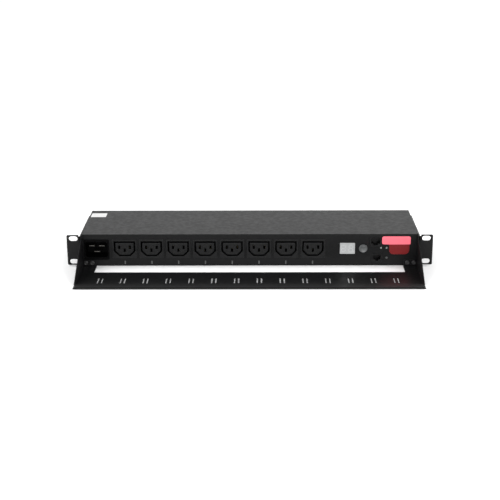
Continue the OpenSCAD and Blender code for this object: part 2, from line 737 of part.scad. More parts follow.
// A flat cable from the control board to the supply board: a strip of constant thickness
module ribbon_cable() color("#8c8f93") translate([ribbon_x, 0, 0]) rotate([90, 0, 90])
    linear_extrude(height = ribbon_w)
        polygon([for (k = [0 : 12]) ribbon_at(k / 12, 0), for (k = [12 : -1 : 0]) ribbon_at(k / 12, ribbon_t)]);
function ribbon_path() = [[board_y + board_t, -8], [30, -8], [40, 6], [40, supply_z]];
function ribbon_at(t, side) = let (p = ribbon_path(),
    d = t == 0 ? p[1] - p[0] : t == 1 ? p[3] - p[2] : bezier(p, t + 0.01) - bezier(p, t - 0.01),
    n = unit([-d[1], d[0]])) bezier(p, t) + side * n;

// ---- Labels ----

// A thin domed badge: a wide bar with a rounded field below it
module front_label() color("#c4202e") slab_y(face_y - label_t, label_t) {
    translate([label_bar_right_x - label_bar_w / 2, label_top_z - label_bar_h / 2])
        round_rect(label_bar_w, label_bar_h, label_bar_r);
    translate([label_field_right_x - label_field_w / 2,
            label_top_z - label_bar_h + (label_overlap - label_field_h) / 2])
        round_rect(label_field_w, label_field_h + label_overlap, label_field_r);
}

module asset_label() color("#f2f2f0") translate([asset_label_at[0], asset_label_at[1], top_z])
    cube([asset_label_w, asset_label_d, asset_label_t]);

base_pan();
top_cover();
front_panel();
rack_ear(-1);  // rack_ear_left
rack_ear(1);  // rack_ear_right
ear_screws();
ear_nuts();
cover_screws();
cord_tray();
tray_screws();
outlet(0);  // outlet_1
outlet(1);  // outlet_2
outlet(2);  // outlet_3
outlet(3);  // outlet_4
outlet(4);  // outlet_5
outlet(5);  // outlet_6
outlet(6);  // outlet_7
outlet(7);  // outlet_8
outlet_contacts(contact_places()[0], line_tab_end_y);  // outlet_line_contacts
outlet_contacts(contact_places()[1], neutral_bar_y);  // outlet_neutral_contacts
outlet_contacts(contact_places()[2], earth_bar_y);  // outlet_earth_contacts
neutral_busbar();
earth_busbar();
line_leads();
inlet_housing();
inlet_pin(pin_places()[0]);  // inlet_line_pin
inlet_pin(pin_places()[1]);  // inlet_neutral_pin
inlet_pin(pin_places()[2]);  // inlet_earth_pin
inlet_line_lead();
inlet_neutral_lead();
inlet_earth_lead();
current_sensor();
relay_board();
relays();
board_standoffs();
board_screws();
insulation_sheet();
control_board();
controller_chips();
control_board_brackets();
control_board_screws();
display_module();
display_segments();
control_button();
control_switch();
switch_plunger();
reset_button();
reset_switch();
ethernet_jack();
ethernet_contacts();
serial_jack();
serial_contacts();
outlet_leds();
status_leds();
supply_board();
supply_transformer();
supply_capacitors();
ribbon_cable();
front_label();
asset_label();
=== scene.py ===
"""Looks of the rack power strip: bent-sheet housings, moulded outlets and fittings, and their finishes."""
import math

import bmesh
import bpy
from mathutils import Matrix, Vector
from mathutils.geometry import tessellate_polygon


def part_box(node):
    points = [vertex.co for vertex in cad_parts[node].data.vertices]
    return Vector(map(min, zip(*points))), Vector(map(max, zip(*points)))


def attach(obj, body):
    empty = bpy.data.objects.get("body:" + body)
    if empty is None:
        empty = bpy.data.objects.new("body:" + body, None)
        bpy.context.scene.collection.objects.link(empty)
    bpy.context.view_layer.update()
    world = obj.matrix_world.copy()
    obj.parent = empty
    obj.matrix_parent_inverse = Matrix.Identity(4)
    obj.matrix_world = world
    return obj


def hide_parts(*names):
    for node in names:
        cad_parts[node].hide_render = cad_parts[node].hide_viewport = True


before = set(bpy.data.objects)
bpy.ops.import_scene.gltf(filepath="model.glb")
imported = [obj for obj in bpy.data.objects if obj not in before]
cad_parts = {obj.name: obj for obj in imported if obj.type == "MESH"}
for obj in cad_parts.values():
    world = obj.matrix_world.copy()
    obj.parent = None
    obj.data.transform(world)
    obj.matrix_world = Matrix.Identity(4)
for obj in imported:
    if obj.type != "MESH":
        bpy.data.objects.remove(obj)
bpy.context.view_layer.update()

MM = 0.001
CHASSIS = "chassis"

# ---- Dimensions in millimetres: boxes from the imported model, the rest as in part.scad -------------


def box_mm(node):
    """Lowest and highest corner of a CAD node, in millimetres."""
    low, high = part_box(node)
    return low / MM, high / MM


PANEL_LOW, PANEL_HIGH = box_mm("front_panel")
COVER_LOW, COVER_HIGH = box_mm("top_cover")
PAN_LOW, PAN_HIGH = box_mm("base_pan")
EAR_LOW, EAR_HIGH = box_mm("rack_ear_right")
TRAY_LOW, TRAY_HIGH = box_mm("cord_tray")
FACE_Y = PANEL_LOW.y
TOP_Z = COVER_HIGH.z
BOTTOM_Z = COVER_LOW.z
SHEET_T = 1.2
PANEL_T = 1.5
EAR_T = 2.0
BEND_R = 0.6
EDGE = 0.22
SLOT_X = 232.55
SLOT_Z = 15.875
EAR_SCREW_YS = (46.0, 78.0)
EAR_SCREW_ZS = (-10.0, 10.0)
TRAY_SCREW_XS = (208.4, 217.0)
TRAY_SCREW_Z = BOTTOM_Z + 4.6
COVER_SCREW_XS = (-195.0, -65.0, 65.0, 195.0)
COVER_SCREW_Z = TOP_Z - 6.0
OUTLETS = [f"outlet_{i}" for i in range(1, 9)]
GROOVE_W = 2.1
GROOVE_D = 17.5
TONGUE_W = 24.0
TONGUE_H = 16.4
TONGUE_CUT = 5.6
CONTACT_DX = 7.0
CONTACT_DZ = 2.0
CONTROL_Z = 2.0
PIPE_W = 1.6
PIPE_H = 4.6
TIE_X = -1.6
TIE_PITCH = 29.1
TIE_COUNT = 14
BUTTON_R = 5.6
RESET_HOLE_R = 1.7
COVER_SCREW_R = 1.7
LABEL_BAR_H = 11.1
LABEL_BAR_R = 2.5
LABEL_FIELD_W = 26.7
LABEL_FIELD_R = 6
LABEL_FIELD_INSET = 1.4

# ---- Outlines ------------------------------------------------------------------------------------


def arc(cx, cy, radius, start, stop, steps):
    """Points of an arc, ends included; angles in degrees."""
    angles = [math.radians(start + (stop - start) * k / steps) for k in range(steps + 1)]
    return [(cx + radius * math.cos(a), cy + radius * math.sin(a)) for a in angles]


def circle(radius, cx=0.0, cy=0.0, steps=40):
    return arc(cx, cy, radius, 0, 360 - 360 / steps, steps - 1)


def rect(width, height, cx=0.0, cy=0.0, radius=0.0, steps=5):
    """Rectangle about a centre, with round corners where radius is given."""
    corners = [(cx - width / 2, cy - height / 2), (cx + width / 2, cy - height / 2),
               (cx + width / 2, cy + height / 2), (cx - width / 2, cy + height / 2)]
    return rounded(corners, radius, steps) if radius else corners


def slot(length, height, cx, cy, upright=False, steps=10):
    """Slot with round ends, along u, or along v where upright."""
    radius, half = height / 2, (length - height) / 2
    if upright:
        return arc(cx, cy + half, radius, 0, 180, steps) + arc(cx, cy - half, radius, 180, 360, steps)
    return arc(cx + half, cy, radius, -90, 90, steps) + arc(cx - half, cy, radius, 90, 270, steps)


def rounded(points, radius, steps=4):
    """The polygon with each corner replaced by an arc; radius is one value or one per corner."""
    radii = radius if isinstance(radius, (list, tuple)) else [radius] * len(points)
    out = []
    for i, (point, r) in enumerate(zip(points, radii)):
        here = Vector(point)
        back = (Vector(points[i - 1]) - here).normalized()
        ahead = (Vector(points[(i + 1) % len(points)]) - here).normalized()
        opening = back.angle(ahead)
        if r < 1e-6 or opening > math.radians(179):
            out.append(tuple(here))
            continue
        reach = r / math.tan(opening / 2)
        centre = here + (back + ahead).normalized() * (r / math.sin(opening / 2))
        first, last = here + back * reach - centre, here + ahead * reach - centre
        turn = first.angle_signed(last)
        start = math.atan2(first.y, first.x)
        for k in range(steps + 1):
            a = start - turn * k / steps
            out.append((centre.x + r * math.cos(a), centre.y + r * math.sin(a)))
    return out


def area(loop):
    return sum(a[0] * b[1] - b[0] * a[1] for a, b in zip(loop, loop[1:] + loop[:1])) / 2


def inset(loop, distance):
    """The loop moved to its left by distance, with mitred corners."""
    out = []
    for i, point in enumerate(loop):
        here = Vector(point)
        before = (here - Vector(loop[i - 1])).normalized()
        after = (Vector(loop[(i + 1) % len(loop)]) - here).normalized()
        left_a, left_b = Vector((-before.y, before.x)), Vector((-after.y, after.x))
        spread = max(1 + left_a.dot(left_b), 0.3)
        out.append(tuple(here + (left_a + left_b) * (distance / spread)))
    return out


# ---- Mesh pieces ---------------------------------------------------------------------------------


def plate(outer, holes=(), low=0.0, high=1.0, edge=EDGE, steps=3, base_edge=None):
    """A flat plate in u, v with rounded edges, between w = low and w = high, as a bmesh in mm."""
    base_edge = edge if base_edge is None else base_edge
    loops = [outer if area(outer) > 0 else outer[::-1]]
    loops += [h if area(h) < 0 else h[::-1] for h in holes]
    rings = []
    for k in range(steps + 1):
        a = math.radians(90 * k / steps)
        rings.append((edge * (1 - math.sin(a)), low + edge * (1 - math.cos(a))))
    for k in range(steps + 1):
        a = math.radians(90 * (1 - k / steps))
        rings.append((base_edge * (1 - math.sin(a)), high - base_edge * (1 - math.cos(a))))
    bm = bmesh.new()
    grid = []
    for shrink, w in rings:
        ring = []
        for loop in loops:
            ring.append([bm.verts.new((u, v, w)) for u, v in inset(loop, shrink)])
        grid.append(ring)
    for lower, highlight_mask in zip(grid, grid[1:]):
        for a, b in zip(lower, highlight_mask):
            for i in range(len(a)):
                j = (i + 1) % len(a)
                bm.faces.new((a[i], a[j], b[j], b[i]))
    for ring in (grid[0], grid[-1]):
        flat = [v for loop in ring for v in loop]
        for tri in tessellate_polygon([[v.co for v in loop] for loop in ring]):
            corners = [flat[k] for k in tri]
            if bm.faces.get(corners) is None:
                bm.faces.new(corners)
    bmesh.ops.remove_doubles(bm, verts=bm.verts, dist=1e-5)
    bmesh.ops.recalc_face_normals(bm, faces=bm.faces)
    return bm


def lathe(profile, steps=40):
    """A solid of revolution about w: profile is (radius, w) points from axis to axis."""
    bm = bmesh.new()
    rings = []
    for radius, w in profile:
        if radius < 1e-6:
            rings.append([bm.verts.new((0, 0, w))])
        else:
            rings.append([bm.verts.new((radius * math.cos(2 * math.pi * k / steps),
                                        radius * math.sin(2 * math.pi * k / steps), w))
                          for k in range(steps)])
    for a, b in zip(rings, rings[1:]):
        for k in range(steps):
            j = (k + 1) % steps
            corners = [a[k % len(a)], a[j % len(a)], b[j % len(b)], b[k % len(b)]]
            corners = [c for n, c in enumerate(corners) if c not in corners[:n]]
            bm.faces.new(corners)
    bmesh.ops.recalc_face_normals(bm, faces=bm.faces)
    return bm


def fold(bm, start, direction, thickness, inner=BEND_R, angle=90.0, up=True, where=None, cuts=6):
    """Bends the sheet about the line where direction . (u, v) = start, like a press brake.

    The sheet lies between w = 0 and w = thickness; up folds it towards +w. where limits the flap."""
    d = Vector((direction[0], direction[1], 0))
    theta = math.radians(angle)
    length = (inner + thickness / 2) * theta
    chosen = [v for v in bm.verts if where is None or where(v.co)]
    wanted = set(chosen)
    for k in range(cuts + 1):
        near = [f for f in bm.faces if any(v in wanted for v in f.verts)]
        parts = set(near)
        for f in near:
            parts.update(f.edges)
            parts.update(f.verts)
        made = bmesh.ops.bisect_plane(bm, geom=list(parts), dist=1e-5, plane_no=d,
                                      plane_co=d * (start + length * k / cuts))
        wanted.update(v for v in made["geom_cut"] if isinstance(v, bmesh.types.BMVert))
    centre = thickness + inner if up else -inner
    for v in bm.verts:
        s = v.co.dot(d) - start
        if s <= 1e-6 or (where is not None and not where(v.co)):
            continue
        phi = min(s / (inner + thickness / 2), theta)
        extra = max(s - length, 0.0)
        rho = centre - v.co.z if up else v.co.z - centre
        sign = 1 if up else -1
        v.co += d * (rho * math.sin(phi) + extra * math.cos(theta) - s)
        v.co.z = centre + sign * (extra * math.sin(theta) - rho * math.cos(phi))
    return bm


def placed(bm, axis="Z", at=(0, 0, 0), flip=False):
    """Turns u, v, w into x, y, z: w goes along axis (flip: against it), and the origin goes to at."""
    for v in bm.verts:
        u, w2, w = v.co
        if flip:
            w = -w
        v.co = {"X": (w, u, w2), "Y": (u, w, w2), "Z": (u, w2, w)}[axis]
        v.co += Vector(at)
    bmesh.ops.recalc_face_normals(bm, faces=bm.faces)
    return bm


def mirrored(bm):
    """A mirrored copy about x = 0."""
    other = bm.copy()
    for v in other.verts:
        v.co.x = -v.co.x
    bmesh.ops.recalc_face_normals(other, faces=other.faces)
    return other


def piece(name, parts, material, body=CHASSIS, replaces=(), smooth=40.0):
    """One object from bmeshes in mm; parts are bmeshes or (bmesh, material) pairs."""
    mesh = bpy.data.meshes.new(name)
    mesh.materials.append(material)
    joined = bmesh.new()
    for part in parts:
        bm, extra = part if isinstance(part, tuple) else (part, None)
        index = 0
        if extra is not None:
            if extra.name not in [m.name for m in mesh.materials]:
                mesh.materials.append(extra)
            index = [m.name for m in mesh.materials].index(extra.name)
        for f in bm.faces:
            f.material_index = index
            f.smooth = True
        for v in bm.verts:
            v.co *= MM
        scratch = bpy.data.meshes.new("scratch")
        bm.to_mesh(scratch)
        joined.from_mesh(scratch)
        bpy.data.meshes.remove(scratch)
        bm.free()
    joined.to_mesh(mesh)
    joined.free()
    mesh.set_sharp_from_angle(angle=math.radians(smooth))
    obj = bpy.data.objects.new(name, mesh)
    bpy.context.scene.collection.objects.link(obj)
    weighted = obj.modifiers.new("weighted_normals", "WEIGHTED_NORMAL")
    weighted.keep_sharp = True
    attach(obj, body)
    if replaces:
        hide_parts(*replaces)
    return obj


# ---- Materials -----------------------------------------------------------------------------------


class Finish:
    """A Principled material whose colour, roughness and bump come from noise in object space."""

    def __init__(self, name, rough=0.5, metallic=0.0, coat=0.0, ior=1.5, specular=0.5):
        self.material = bpy.data.materials.new(name)
        self.material.use_nodes = True
        self.nodes = self.material.node_tree.nodes
        self.links = self.material.node_tree.links
        self.nodes.clear()
        self.bsdf = self.nodes.new("ShaderNodeBsdfPrincipled")
        output = self.nodes.new("ShaderNodeOutputMaterial")
        self.links.new(self.bsdf.outputs["BSDF"], output.inputs["Surface"])
        self.bsdf.inputs["Roughness"].default_value = rough
        self.bsdf.inputs["Metallic"].default_value = metallic
        self.bsdf.inputs["Coat Weight"].default_value = coat
        self.bsdf.inputs["Coat Roughness"].default_value = 0.12
        self.bsdf.inputs["IOR"].default_value = ior
        self.bsdf.inputs["Specular IOR Level"].default_value = specular
        self.coords = self.nodes.new("ShaderNodeTexCoord").outputs["Object"]

    def noise(self, size_mm, detail=2.0, stretch=None):
        """Noise whose features are about size_mm across; stretch scales the three axes."""
        source = self.coords
        if stretch is not None:
            mapping = self.nodes.new("ShaderNodeMapping")
            mapping.inputs["Scale"].default_value = stretch
            self.links.new(source, mapping.inputs["Vector"])
            source = mapping.outputs["Vector"]
        node = self.nodes.new("ShaderNodeTexNoise")
        node.inputs["Scale"].default_value = 1 / (size_mm * MM)
        node.inputs["Detail"].default_value = detail
        self.links.new(source, node.inputs["Vector"])
        return node.outputs["Fac"]

    def remap(self, value, low, high, to_low, to_high):
        node = self.nodes.new("ShaderNodeMapRange")
        for key, number in zip(("From Min", "From Max", "To Min", "To Max"), (low, high, to_low, to_high)):
            node.inputs[key].default_value = number
        self.links.new(value, node.inputs["Value"])
        return node.outputs["Result"]

    def mix(self, factor, a, b):
        """Mixes two colours, each a tuple or a socket."""
        node = self.nodes.new("ShaderNodeMix")
        node.data_type = "RGBA"
        self.links.new(factor, node.inputs[0])
        for source, key in ((a, 6), (b, 7)):
            if isinstance(source, tuple):
                node.inputs[key].default_value = (*source, 1)
            else:
                self.links.new(source, node.inputs[key])
        return node.outputs[2]

    def colour(self, socket):
        if isinstance(socket, tuple):
            self.bsdf.inputs["Base Color"].default_value = (*socket, 1)
        else:
            self.links.new(socket, self.bsdf.inputs["Base Color"])
        return self

    def mottled(self, a, b, size_mm, low=0.38, high=0.62):
        """Colour that wanders between a and b over size_mm."""
        return self.colour(self.mix(self.remap(self.noise(size_mm, 3.0), low, high, 0, 1), a, b))

    def rough(self, low, high, size_mm, stretch=None):
        value = self.remap(self.noise(size_mm, 3.0, stretch), 0.35, 0.65, low, high)
        self.links.new(value, self.bsdf.inputs["Roughness"])
        return self

    def bump(self, size_mm, height_mm, strength=1.0, stretch=None, detail=2.0, before=None):
        node = self.nodes.new("ShaderNodeBump")
        node.inputs["Strength"].default_value = strength
        node.inputs["Distance"].default_value = height_mm * MM
        self.links.new(self.noise(size_mm, detail, stretch), node.inputs["Height"])
        if before is not None:
            self.links.new(before, node.inputs["Normal"])
        self.links.new(node.outputs["Normal"], self.bsdf.inputs["Normal"])
        return node.outputs["Normal"]


def powder_coat():
    f = Finish("powder_coat", specular=0.165)
    f.mottled((0.0030, 0.0031, 0.0033), (0.0044, 0.0045, 0.0048), 2.2)
    f.rough(0.36, 0.44, 5.0)
    coarse = f.bump(1.5, 0.030)
    f.bump(0.45, 0.010, before=coarse)
    return f.material


def black_screw():
    f = Finish("black_screw", metallic=0.6)
    f.mottled((0.05, 0.05, 0.052), (0.085, 0.084, 0.083), 0.8)
    f.rough(0.28, 0.42, 0.7)
    f.bump(0.3, 0.004)
    return f.material


def metal(name, a, b, rough_low, rough_high, stretch=(1, 14, 14)):
    """Plated or rolled metal with fine drawn lines."""
    f = Finish(name, metallic=1.0)
    f.mottled(a, b, 4.0)
    f.rough(rough_low, rough_high, 0.8, stretch)
    f.bump(0.25, 0.0025, stretch=stretch)
    return f.material


def moulded(name, a, b, rough_low=0.42, rough_high=0.55, grain=0.28, depth=0.006, coat=0.0, size=3.0,
            specular=0.5):
    """Moulded plastic with a fine spark texture."""
    f = Finish(name, coat=coat, specular=specular)
    f.mottled(a, b, size)
    f.rough(rough_low, rough_high, 1.6)
    f.bump(grain, depth)
    return f.material


def laminate():
    """Green solder mask with fine tracks and round pads."""
    f = Finish("green_laminate", coat=0.3)
    tracks = f.nodes.new("ShaderNodeTexBrick")
    tracks.inputs["Scale"].default_value = 1 / (7 * MM)
    tracks.inputs["Mortar Size"].default_value = 0.035
    tracks.inputs["Color1"].default_value = (0.010, 0.085, 0.035, 1)
    tracks.inputs["Color2"].default_value = (0.013, 0.100, 0.042, 1)
    tracks.inputs["Mortar"].default_value = (0.035, 0.17, 0.07, 1)
    f.links.new(f.coords, tracks.inputs["Vector"])
    pads = f.nodes.new("ShaderNodeTexVoronoi")
    pads.inputs["Scale"].default_value = 1 / (4.5 * MM)
    pads.inputs["Randomness"].default_value = 0.25
    f.links.new(f.coords, pads.inputs["Vector"])
    pad = f.remap(pads.outputs["Distance"], 0.12, 0.14, 1, 0)
    f.colour(f.mix(pad, tracks.outputs["Color"], (0.62, 0.60, 0.55)))
    f.rough(0.25, 0.38, 3.0)
    f.bump(0.8, 0.01)
    return f.material


def striped_wire():
    """Green insulation with yellow stripes."""
    f = Finish("green_yellow_wire", coat=0.2)
    wave = f.nodes.new("ShaderNodeTexWave")
    wave.inputs["Scale"].default_value = 1 / (9 * MM)
    wave.bands_direction = "DIAGONAL"
    f.links.new(f.coords, wave.inputs["Vector"])
    f.colour(f.mix(f.remap(wave.outputs["Fac"], 0.5, 0.55, 0, 1), (0.03, 0.22, 0.03), (0.62, 0.5, 0.03)))
    f.rough(0.35, 0.45, 1.5)
    f.bump(0.6, 0.004)
    return f.material


def badge(split_z):
    """Domed label: a dark red field under an upper bar painted bright red as a painted highlight of the lights
    on the dome, divided at the height split_z in mm.
    """
    f = Finish("badge_red", coat=0.12, specular=0.25)
    separate = f.nodes.new("ShaderNodeSeparateXYZ")
    f.links.new(f.coords, separate.inputs["Vector"])
    # Painted highlight: the upper bar's bright red stands in for the lights reflected in the dome; the field
    # below keeps the badge's own dark red.
    highlight_mask = f.remap(separate.outputs["Z"], (split_z - 0.15) * MM, (split_z + 0.15) * MM, 0, 1)
    flecks = f.remap(f.noise(0.5), 0.35, 0.65, 0, 1)
    painted_highlight = f.mix(flecks, (0.90, 0.15, 0.20), (0.94, 0.17, 0.22))
    dark = f.mix(flecks, (0.15, 0.007, 0.008), (0.18, 0.009, 0.010))
    f.colour(f.mix(highlight_mask, dark, painted_highlight))
    f.rough(0.30, 0.40, 2.0)
    f.bump(0.6, 0.003)
    return f.material


def display_face():
    """Pale diffusing face of the display."""
    f = Finish("display_window", coat=0.25)
    f.mottled((0.345, 0.352, 0.355), (0.385, 0.392, 0.395), 3.0)
    f.rough(0.38, 0.48, 2.0)
    f.bump(0.4, 0.002)
    return f.material


POWDER = powder_coat()
SCREW = black_screw()
ZINC = metal("zinc_plate", (0.58, 0.59, 0.58), (0.68, 0.68, 0.66), 0.28, 0.42)
BRASS = metal("spring_brass", (0.66, 0.50, 0.22), (0.74, 0.58, 0.30), 0.22, 0.36)
COPPER = metal("rolled_copper", (0.68, 0.36, 0.20), (0.76, 0.45, 0.28), 0.25, 0.4)
# Painted shade: the inlet pins' nickel is made this dark to stand in for the shade deep inside the inlet's
# cavity.
SHADED_PIN_METAL = metal("pin_nickel_painted_shade", (0.060, 0.058, 0.054), (0.085, 0.082, 0.076), 0.3, 0.42)
GOLD = metal("gold_flash", (0.80, 0.58, 0.20), (0.86, 0.66, 0.30), 0.16, 0.28)
OUTLET = moulded("outlet_nylon", (0.0036, 0.0037, 0.0039), (0.0052, 0.0053, 0.0056), 0.38, 0.48, specular=0.22)
# Painted shade: the inlet's nylon is darker and less glossy than the outlet nylon to stand in for the shade in
# the inlet's recess.
SHADED_INLET_NYLON = moulded("inlet_nylon_painted_shade", (0.0012, 0.0012, 0.0013), (0.0020, 0.0020, 0.0021), 0.46, 0.58, specular=0.035)
JACK = moulded("jack_polyester", (0.0035, 0.0035, 0.0037), (0.0055, 0.0055, 0.0058), 0.40, 0.50, specular=0.2)
BUTTON = moulded("button_plastic", (0.060, 0.063, 0.064), (0.080, 0.084, 0.085), 0.36, 0.46, coat=0.1)
LENS = moulded("led_lens", (0.15, 0.17, 0.16), (0.20, 0.22, 0.21), 0.25, 0.35, coat=0.3)
PIPE = moulded("smoke_lens", (0.055, 0.058, 0.057), (0.075, 0.078, 0.077), 0.28, 0.38, coat=0.2)
SEGMENT = moulded("display_segment", (0.40, 0.41, 0.41), (0.45, 0.46, 0.46), 0.35, 0.45)
DISPLAY = display_face()
SWITCH = moulded("switch_plastic", (0.02, 0.02, 0.022), (0.035, 0.035, 0.037))
PLUNGER = moulded("plunger_acetal", (0.62, 0.59, 0.50), (0.70, 0.67, 0.58))
RELAY = moulded("relay_case", (0.010, 0.014, 0.030), (0.016, 0.022, 0.045), 0.25, 0.38, coat=0.2)
CHIP = moulded("chip_epoxy", (0.012, 0.012, 0.013), (0.024, 0.024, 0.026), 0.45, 0.6)
FISH_PAPER = moulded("fish_paper", (0.46, 0.41, 0.28), (0.55, 0.50, 0.36), 0.6, 0.8, 1.2, 0.02)
BROWN = moulded("brown_wire", (0.10, 0.038, 0.015), (0.14, 0.055, 0.022), 0.32, 0.42)
BLUE = moulded("blue_wire", (0.03, 0.09, 0.32), (0.045, 0.12, 0.40), 0.32, 0.42)
RIBBON = moulded("ribbon_pvc", (0.30, 0.31, 0.32), (0.36, 0.37, 0.38), 0.4, 0.5)
SENSOR = moulded("sensor_resin", (0.02, 0.09, 0.05), (0.035, 0.13, 0.075), 0.3, 0.5)
CORE = moulded("core_varnish", (0.05, 0.042, 0.036), (0.09, 0.075, 0.062), 0.4, 0.6)
CAPACITOR = moulded("capacitor_sleeve", (0.012, 0.016, 0.035), (0.02, 0.026, 0.05), 0.2, 0.3, coat=0.3)
STICKER = moulded("sticker_film", (0.56, 0.56, 0.555), (0.61, 0.61, 0.60), 0.38, 0.48, 1.2, 0.004)
LAMINATE = laminate()
EARTH_WIRE = striped_wire()

# ---- Sheet metal ---------------------------------------------------------------------------------


def flap(height, thickness, inner=BEND_R):
    """Flat length past the fold's start for a flap that ends at height above the sheet's far face."""
    return (inner + thickness / 2) * math.pi / 2 + height - thickness - inner


def build_cover():
    t = SHEET_T
    half, rear, front = COVER_HIGH.x, COVER_HIGH.y, COVER_LOW.y
    fold_x, fold_y = half - BEND_R - t, rear - BEND_R - t
    side_x = fold_x + flap(TOP_Z - BOTTOM_Z, t)
    lip_y = fold_y + flap(t + 10.0, t)
    lip_x = fold_x - 0.6
    side_front, side_rear = front + PANEL_T + 0.1, rear - 0.1
    outline = [(-fold_x, front), (fold_x, front), (fold_x, side_front), (side_x, side_front),
               (side_x, side_rear), (fold_x, side_rear), (fold_x, fold_y), (lip_x, fold_y),
               (lip_x, lip_y), (-lip_x, lip_y), (-lip_x, fold_y), (-fold_x, fold_y),
               (-fold_x, side_rear), (-side_x, side_rear), (-side_x, side_front), (-fold_x, side_front)]
    radii = [0.4, 0.4, 0, 0, 1.5, 0, 0, 0, 1.5, 1.5, 0, 0, 0, 1.5, 0, 0]
    screw_y = fold_y + flap(TOP_Z - COVER_SCREW_Z, t)
    holes = [circle(COVER_SCREW_R, x, screw_y, 24) for x in COVER_SCREW_XS]
    bm = plate(rounded(outline, radii), holes, 0, t)
    fold(bm, fold_y, (0, 1), t, up=False, where=lambda c: abs(c.x) < fold_x - 0.3)
    fold(bm, fold_x, (1, 0), t, up=False, where=lambda c: c.x > fold_x - 0.1 and c.z > -0.01)
    fold(bm, fold_x, (-1, 0), t, up=False, where=lambda c: c.x < -fold_x + 0.1 and c.z > -0.01)
    placed(bm, "Z", (0, 0, TOP_Z - t))
    piece("cover_sheet", [bm], POWDER, replaces=["top_cover"])


def build_pan():
    t = SHEET_T
    half, front, rear = PAN_HIGH.x, PAN_LOW.y, PAN_HIGH.y
    fold_x, fold_y = half - BEND_R - t, rear - BEND_R - t
    wall_y = fold_y + flap(PAN_HIGH.z - PAN_LOW.z, t)
    flange_x = fold_x + flap(7.2, t)
    flange_front, flange_rear = 32.0, fold_y - 1.5
    outline = [(-fold_x - 1, front), (fold_x + 1, front), (fold_x + 1, flange_front - 2),
               (fold_x, flange_front - 2), (fold_x, flange_front), (flange_x, flange_front),
               (flange_x, flange_rear), (fold_x, flange_rear), (fold_x, fold_y), (half - 0.2, fold_y),
               (half - 0.2, wall_y), (-half + 0.2, wall_y), (-half + 0.2, fold_y), (-fold_x, fold_y),
               (-fold_x, flange_rear), (-flange_x, flange_rear), (-flange_x, flange_front),
               (-fold_x, flange_front), (-fold_x, flange_front - 2), (-fold_x - 1, flange_front - 2)]
    screw_y = fold_y + flap(COVER_SCREW_Z - BOTTOM_Z, t)
    holes = [circle(COVER_SCREW_R, x, screw_y, 24) for x in COVER_SCREW_XS]
    bm = plate(outline, holes, 0, t)
    fold(bm, fold_y, (0, 1), t)
    for side in (1, -1):
        fold(bm, fold_x, (side, 0), t,
             where=lambda c, s=side: s * c.x > fold_x - 0.1 and flange_front - 0.1 < c.y < flange_rear + 0.1)
    placed(bm, "Z", (0, 0, BOTTOM_Z))
    piece("pan_sheet", [bm], POWDER, replaces=["base_pan"])


def build_panel():
    width = PANEL_HIGH.x - PANEL_LOW.x
    height = PANEL_HIGH.z - PANEL_LOW.z
    holes = []
    for name in OUTLETS:
        low, high = box_mm(name)
        holes.append(rect(30.9, 23.7, (low.x + high.x) / 2, (low.z + high.z) / 2, 0.8, 3))
    low, high = box_mm("inlet_housing")
    holes.append(rect(32.3, 25.1, (low.x + high.x) / 2, (low.z + high.z) / 2, 0.8, 3))
    low, high = box_mm("display_module")
    holes.append(rect(high.x - low.x + 0.3, high.z - low.z + 0.3, (low.x + high.x) / 2,
                      (low.z + high.z) / 2, 0.4, 3))
    low, high = box_mm("control_button")
    # This hole leaves the button no gap; part.scad's is 0.3 mm larger in radius.
    holes.append(circle(BUTTON_R, (low.x + high.x) / 2, CONTROL_Z))
    for jack in ("ethernet_jack", "serial_jack"):
        low, high = box_mm(jack)
        holes.append(rect(high.x - low.x + 0.4, high.z - low.z + 0.4, (low.x + high.x) / 2,
                          (low.z + high.z) / 2, 0.3, 3))
    low, high = box_mm("reset_button")
    holes.append(circle(RESET_HOLE_R, (low.x + high.x) / 2, (low.z + high.z) / 2, 24))
    for x, z in led_places():
        holes.append(circle(1.3, x, z, 24))
    for x, z in pipe_places():
        holes.append(rect(PIPE_W + 0.05, PIPE_H + 0.05, x, z, 0.2, 2))
    for x in TRAY_SCREW_XS:
        holes += [circle(1.6, x, TRAY_SCREW_Z, 24), circle(1.6, -x, TRAY_SCREW_Z, 24)]
    outline = rect(width, height, 0, (PANEL_LOW.z + PANEL_HIGH.z) / 2, 0.5, 3)
    sheet = placed(plate(outline, holes, FACE_Y, FACE_Y + PANEL_T), "Y")
    tabs = []
    for a, b in zip(pipe_places(), pipe_places()[1:]):
        tab = plate(rect(20, 9, (a[0] + b[0]) / 2, FACE_Y + PANEL_T + 4.5, 1.0, 3), (),
                    BOTTOM_Z + SHEET_T, BOTTOM_Z + 2 * SHEET_T)
        tabs.append(placed(tab, "Z"))
    piece("panel_sheet", [sheet] + tabs, POWDER, replaces=["front_panel"])


def led_places():
    """Centres of the two round lights, from the node's own solids."""
    low, high = box_mm("status_leds")
    z = (low.z + high.z) / 2
    return [(low.x + 1.25, z), (high.x - 1.25, z)]


def pipe_places():
    """Centres of the upright outlet lights."""
    low, high = box_mm("outlet_leds")
    z = (low.z + high.z) / 2
    pitch = (high.x - low.x - PIPE_W) / (len(OUTLETS) - 1)
    return [(low.x + PIPE_W / 2 + i * pitch, z) for i in range(len(OUTLETS))]


